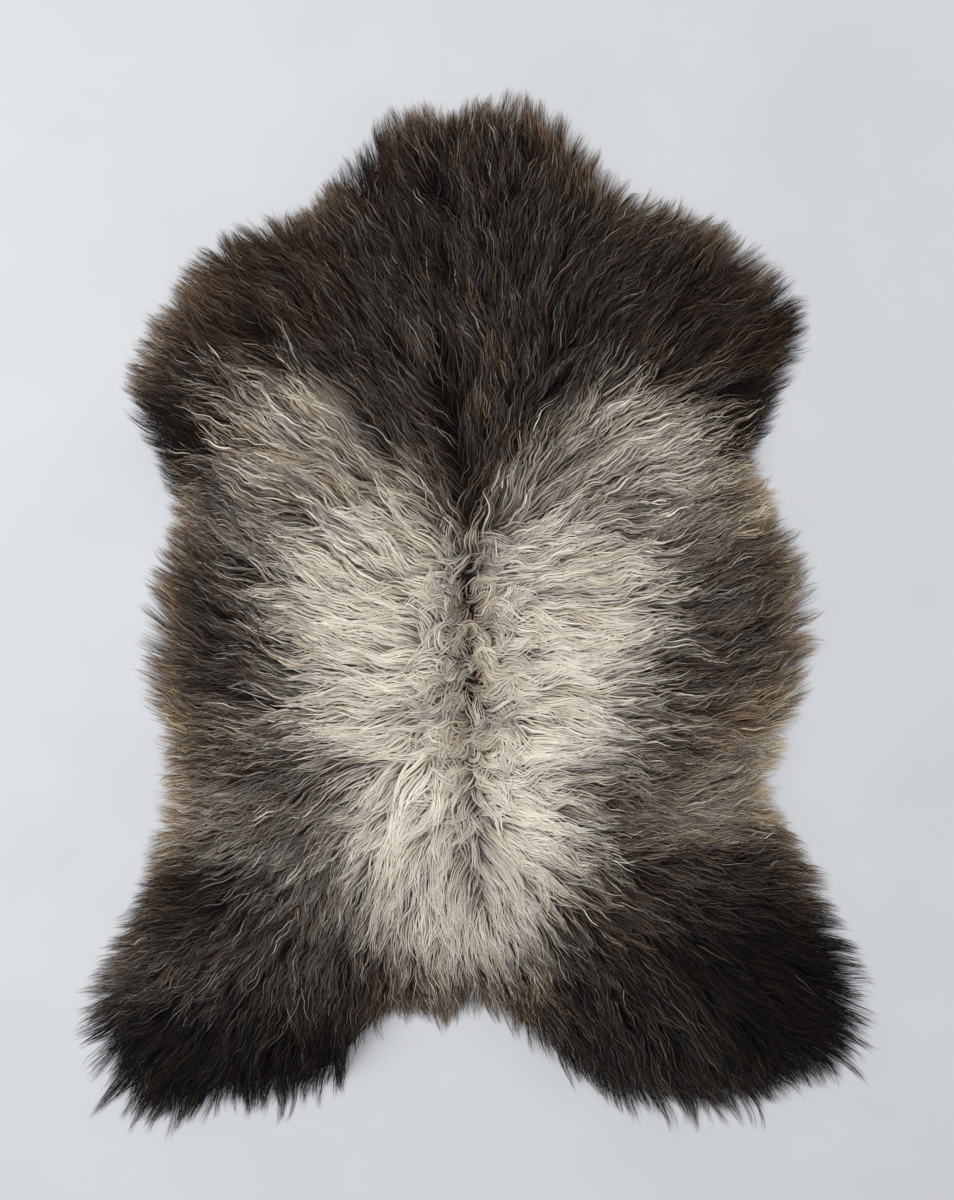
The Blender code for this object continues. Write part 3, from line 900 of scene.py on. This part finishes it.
rng = np.random.default_rng(11)
back = scatter(10 * MM, rng)
back = back[tousle(back) > rng.uniform(0.15, 0.6, len(back))]
roots = scatter(15 * MM, rng)
fine = coat(roots)[0] + rng.normal(0, 0.05, len(roots)) < np.interp(roots[:, 1], *FINE_TONES)
layers = [
    make_strands(scatter(18 * MM, rng, least=ROOT_INSET * 0.7), UNDER, rng),
    make_strands(roots[~fine], COAT_LOCKS, rng),
    make_strands(roots[fine], FINE_LOCKS, rng),
    make_strands(scatter(7 * MM, rng, least=4 * MM, most=34 * MM), RIM, rng),
    make_strands(back, CURLS, rng),
    make_strands(scatter(16 * MM, rng), HAIRS, rng),
]
print("strands of each kind:", [len(layer["path"]) for layer in layers])

# %% [markdown]
# ## The wool in pieces
# The wool is cut into nine meshes by where it is rooted, so that each stays light enough to edit:
# the neck, and the shoulder, flank, loin and hind leg of either side.

# %% Wool pieces
# Each level of the skin, and the heights y in metres between which its wool is rooted
LEVELS = (("shoulder", 0.15, 0.34), ("flank", -0.04, 0.15), ("loin", -0.22, -0.04), ("hind", -9, -0.22))
SIDES = (("left", -1), ("right", 1))
REGIONS = [("wool_neck", 0.34, 9, 0)] + [
    (f"wool_{level}_{side}", bottom, top, sign) for level, bottom, top in LEVELS for side, sign in SIDES
]


def gather(name, chosen):
    """One mesh from the chosen strands of every layer."""
    points, faces, places, total = [], [], [], 0
    for layer, wanted in zip(layers, chosen):
        made = ribbons(*(layer[key][wanted] for key in ("path", "width", "roll", "tone", "tip", "band")))
        points.append(made[0])
        faces.append(made[1] + total)
        places.append(made[2])
        total += len(made[0])
    mesh = quad_mesh(name, np.vstack(points), np.vstack(faces), np.vstack(places), wool)
    piece = new_object(name, mesh)
    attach(piece, "root")
    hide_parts("sheepskin")
    print(name, 2 * len(mesh.polygons), "triangles")


for name, bottom, top, sign in REGIONS:
    chosen = []
    for layer in layers:
        x, y = layer["root"].T
        this_side = (sign == 0) | ((x >= spine_x(y)) == (sign > 0))
        chosen.append((y >= bottom) & (y < top) & this_side)
    gather(name, chosen)

# %% [markdown]
# ## A closed sheet over the hide's map
# The short wool and the hide are closed skins: a grid over the hide's map for the top, and the
# same grid, run backwards, for the bottom.

# %% Closed sheets
def inset_loop(loop, distance):
    """The loop moved inwards by a distance (one number, or one for each point; less than 0 is out)."""
    way = np.roll(loop, -1, axis=0) - np.roll(loop, 1, axis=0)
    inward = np.column_stack([-way[:, 1], way[:, 0]]) / np.hypot(*way.T)[:, None]
    test, _ = signed_distance(loop + inward * 2 * MM, loop)
    inward *= np.sign(np.median(test))
    return loop + inward * np.broadcast_to(distance, len(loop))[:, None]


def closed_section(v, w, loop, top_height, bottom_height):
    """A closed skin: the top from left to right, then the bottom back from right to left."""
    plan = hide_map(loop, v, w)
    top = np.dstack([plan, top_height(plan)])
    bottom = np.dstack([plan, np.full(plan.shape[:2], bottom_height)])[:, ::-1]
    return np.concatenate([top, bottom[:, 1:-1]], axis=1)


def closed_mesh(name, section, material):
    """A mesh of quads over a grid of points whose last column joins its first. On the chart the
    grid runs across from column to column and up from row to row."""
    rows, columns = section.shape[:2]
    index = np.arange(rows * columns).reshape(rows, columns)
    here, below = index[:-1], index[1:]
    corners = [here, below, np.roll(below, -1, axis=1), np.roll(here, -1, axis=1)]
    faces = np.stack(corners, axis=-1).reshape(-1, 4)
    across = np.arange(columns) / columns
    down = np.arange(rows) / (rows - 1)
    place = np.zeros((rows - 1, columns, 4, 2))
    place[..., 0] = np.stack([across, across, across + 1 / columns, across + 1 / columns], axis=-1)[None]
    place[..., 1] = np.stack([down[:-1], down[1:], down[1:], down[:-1]], axis=-1)[:, None]
    return quad_mesh(name, section.reshape(-1, 3), faces, place.reshape(-1, 2), material)


print("the sheets close over", len(ring), "points of the rim")

# %% [markdown]
# ## Short wool under the locks
# Between the locks one looks down on dense, matted down, never on bare skin. A closed mound fills
# that place: it follows the heights a little lower than the locks, takes the coat's colours some
# way darker, for it lies in their shade, and has streaks of bump at the scale of the fibres.

# %% Short wool
SUNK = 10 * MM  # how far the down lies under the coat's surface
DOWN_INSET = 8 * MM  # how far inside the slab's edge the down ends
DOWN_FOOT = 2.6 * MM  # height of the down's underside, clear of the hide
DOWN_LEAST = 1.5 * MM  # its least thickness
DOWN_SLOPE = 30 * MM  # how far in from its edge it is full
DOWN_GRID = (97, 45)  # points from neck to tail and from edge to edge
DOWN_TUFTS = 420.0  # tufts to a metre, 2.4 mm each
PARTING_WIDE = 22 * MM  # half the width of the shade along the parting
PARTING_RUN = ((-0.14, -0.08, 0.03, 0.06), (0, 1, 1, 0))  # its strength, by height y

down_edge = inset_loop(ring, DOWN_INSET + np.maximum(dip_at(ring), 0))


def down_height(plan):
    """A little under the coat, and thinning out to the hide at its edge, as a square root."""
    inside, _ = signed_distance(plan, down_edge)
    edge = np.clip(inside / DOWN_SLOPE, 0, 1) ** 0.5
    return DOWN_FOOT + np.maximum(on_grid(heights, plan) - SUNK - DOWN_FOOT, DOWN_LEAST) * edge


def chart_colours(tone, warmth):
    """The colours that the wool's chart gives for a tone and a warmth, as linear red, green, blue."""
    stops = [stop for stop, _ in GREY_WOOL]
    both = []
    for wool_ramp in (GREY_WOOL, TAN_WOOL):
        colours = np.array([linear(colour) for _, colour in wool_ramp])
        both.append(np.column_stack([np.interp(tone, stops, colours[:, k]) for k in range(3)]))
    return both[0] * (1 - warmth[:, None]) + both[1] * warmth[:, None]


def down_shades(points):
    """The coat's colour at each point with painted shade: some way darker under the locks, and darker
    again along the parting.
    """
    tone, warmth = coat(points[:, :2])
    near = np.exp(-((points[:, 0] - spine_x(points[:, 1])) / PARTING_WIDE) ** 2)
    deep = np.interp(points[:, 1], *PARTING_RUN)
    tone = tone * (0.86 - (0.12 + 0.45 * deep) * near)
    return np.column_stack([chart_colours(tone, np.clip(warmth, 0, 1)), np.ones(len(tone))])


def make_matted_wool():
    """Dull and clotted, with shadow between the tufts. Its colour and painted shade come with the mesh.
    """
    material, tree, shader = new_material("matted short wool", {
        "IOR": 1.55, "Specular IOR Level": 0.03,
    })
    coat_in_shade = add_node(tree, "ShaderNodeAttribute", {"attribute_name": "coat"})["Color"]
    place = add_node(tree, "ShaderNodeTexCoord")["Object"]
    tufts = add_node(tree, NOISE, inputs={
        "Scale": DOWN_TUFTS, "Detail": 4.0, "Distortion": 1.5, "Vector": place,
    })["Fac"]
    shadow = add_node(tree, RAMP, inputs={0: tufts}, stops=((0.3, "#575049"), (0.7, "#ffffff")))[0]
    colour = add_node(tree, MIX, MULTIPLY_COLOUR, {0: 1.0, 6: coat_in_shade, 7: shadow})[2]
    rough = add_node(tree, "ShaderNodeMapRange", inputs={
        "Value": tufts, "To Min": 0.75, "To Max": 0.95,
    })["Result"]
    relief = add_node(tree, "ShaderNodeBump", inputs={
        "Strength": 0.8, "Distance": 1.2 * MM, "Height": tufts,
    })["Normal"]
    feed(tree, shader, {"Base Color": colour, "Roughness": rough, "Normal": relief})
    return material


def make_down():
    """The mound: the hide's map raised to the down's height, closed by a flat underside."""
    v, w = np.linspace(0, 1, DOWN_GRID[0]), np.linspace(-1, 1, DOWN_GRID[1])
    section = closed_section(v, w, down_edge, down_height, DOWN_FOOT)
    mesh = closed_mesh("short_wool", section, make_matted_wool())
    shades = mesh.color_attributes.new("coat", "FLOAT_COLOR", "POINT")
    shades.data.foreach_set("color", down_shades(section.reshape(-1, 3)).ravel())
    piece = new_object("short_wool", mesh)
    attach(piece, "root")
    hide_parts("sheepskin")
    print("short wool", len(mesh.polygons) * 2, "triangles")


make_down()

# %% [markdown]
# ## The hide
# Underneath, a tanned sheepskin is suede: pale, matt, with a fine nap and soft clouds of tan. It is
# a sheet about 2 mm thick, cut along the outline, and it shows at the edge in the notch of the neck.

# %% The hide
HIDE_THICK = 2.0 * MM
HIDE_INSET = 8 * MM  # how far inside the slab's edge the hide is cut
NOTCH_OUT = 22 * MM  # how much further out it goes in the notch of the neck
NOTCH_WIDE = 26 * MM  # half the width of that notch
HIDE_GRID = (141, 21)  # points from neck to tail and from edge to edge
HIDE_CLOUDS = 9.0  # shades of tan to a metre, each about 11 cm wide
HIDE_NAP = 900.0  # grains to a metre, each about 1 mm


def hide_outline():
    """The slab's edge, drawn in all round, but out to the very rim in the notch of the neck."""
    bare = np.exp(-(np.hypot(*(ring - NOTCH).T) / NOTCH_WIDE) ** 2)
    return inset_loop(ring, HIDE_INSET + np.maximum(dip_at(ring), 0) * (1 - bare) - NOTCH_OUT * bare)


def make_suede():
    """Matt and softly clouded, with a nap that blurs its shine."""
    material, tree, shader = new_material("tanned suede", {"Roughness": 0.9, "Sheen Weight": 0.2})
    place = add_node(tree, "ShaderNodeTexCoord")["Object"]
    cloud, nap = (
        add_node(tree, NOISE, inputs={"Scale": scale, "Detail": detail, "Vector": place})["Fac"]
        for scale, detail in ((HIDE_CLOUDS, 5.0), (HIDE_NAP, 3.0))
    )
    tan = add_node(tree, RAMP, inputs={0: cloud}, stops=((0.3, "#b3a58f"), (0.7, "#d2c6b2")))[0]
    relief = add_node(tree, "ShaderNodeBump", inputs={
        "Strength": 0.35, "Distance": 0.4 * MM, "Height": nap,
    })["Normal"]
    feed(tree, shader, {"Base Color": tan, "Normal": relief})
    return material


def make_hide():
    """The sheet: the hide's map at two heights, its rows closer together towards the edges."""
    edge = hide_outline()
    v, w = np.linspace(0, 1, HIDE_GRID[0]), np.sin(np.linspace(-np.pi / 2, np.pi / 2, HIDE_GRID[1]))
    section = closed_section(v, w, edge, lambda plan: np.full(plan.shape[:2], HIDE_THICK), 0.0)
    piece = new_object("pelt", closed_mesh("pelt", section, make_suede()))
    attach(piece, "root")
    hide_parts("sheepskin")


make_hide()
